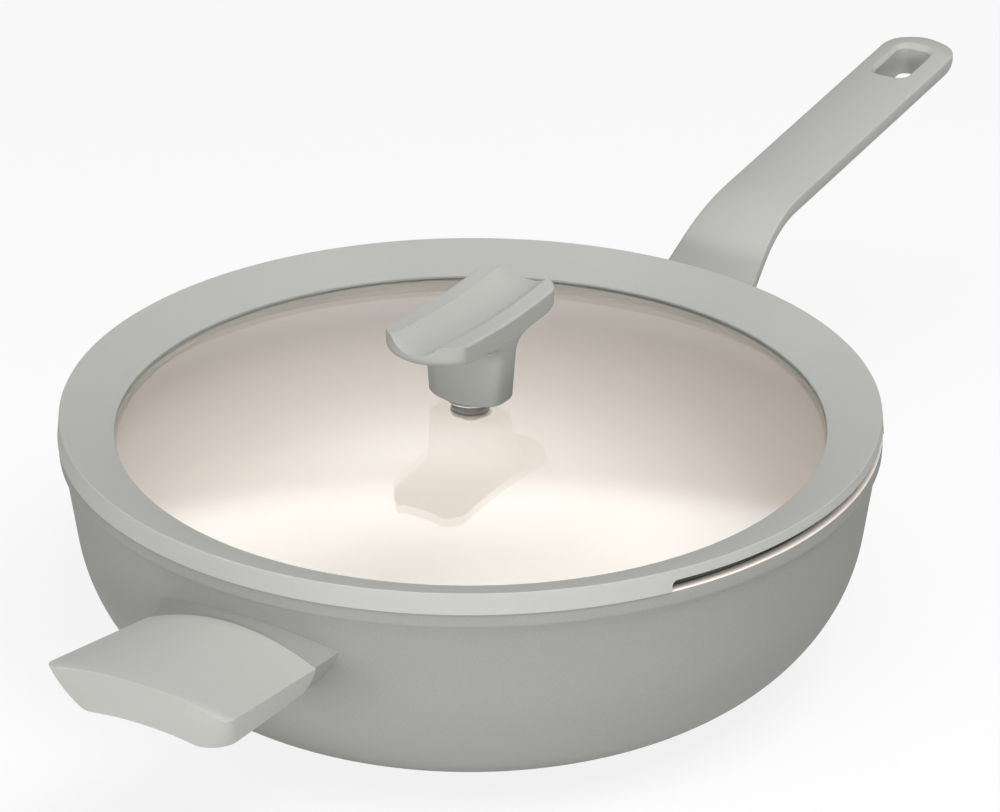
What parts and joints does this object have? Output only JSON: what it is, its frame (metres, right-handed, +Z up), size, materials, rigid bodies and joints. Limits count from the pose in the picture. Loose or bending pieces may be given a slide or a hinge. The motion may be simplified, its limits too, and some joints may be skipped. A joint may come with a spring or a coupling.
{
  "type": "lidded frying pan",
  "caption": "Deep round-heeled pan with a long handle, a short helper handle and a lift-off glass lid in a wide silicone rim with a T-shaped knob",
  "frame": {"origin": "centre of the flat underside of the base plate, on the pan's axis", "axes": "+X along the long handle, +Z up along the pan's axis, +Y completes the right-handed frame"},
  "size_m": [0.5345, 0.2908, 0.1341],
  "materials": {
    "coated_pan": "satin warm-grey coating on cast aluminium",
    "base_steel": "brushed in circles",
    "soft_grip": "soft-touch satin",
    "silicone": "matt silicone",
    "lid_glass": "clear tempered glass",
    "fixing_steel": "bright turned steel",
    "insert_brass": "turned brass"
  },
  "bodies": {
    "pan": {"pan_body": "coated_pan", "induction_base_plate": "base_steel", "long_handle_bracket": "coated_pan", "long_handle_grip": "soft_grip", "long_handle_screw": "fixing_steel", "helper_handle_bracket": "coated_pan", "helper_handle_grip": "soft_grip", "helper_handle_screw_1": "fixing_steel", "helper_handle_screw_2": "fixing_steel"},
    "lid": {"lid_glass": "lid_glass", "lid_silicone_rim": "silicone", "vent_eyelet": "fixing_steel", "knob_gasket": "silicone", "knob": "soft_grip", "knob_threaded_insert": "insert_brass", "lid_lower_washer": "silicone", "lid_steel_washer": "fixing_steel", "knob_screw": "fixing_steel"}
  },
  "joints": [
    {"name": "lid_lift", "type": "slide", "parent": "pan", "child": "lid", "axis": [0, 0, 1], "range_m": [0, 0.1]}
  ]
}
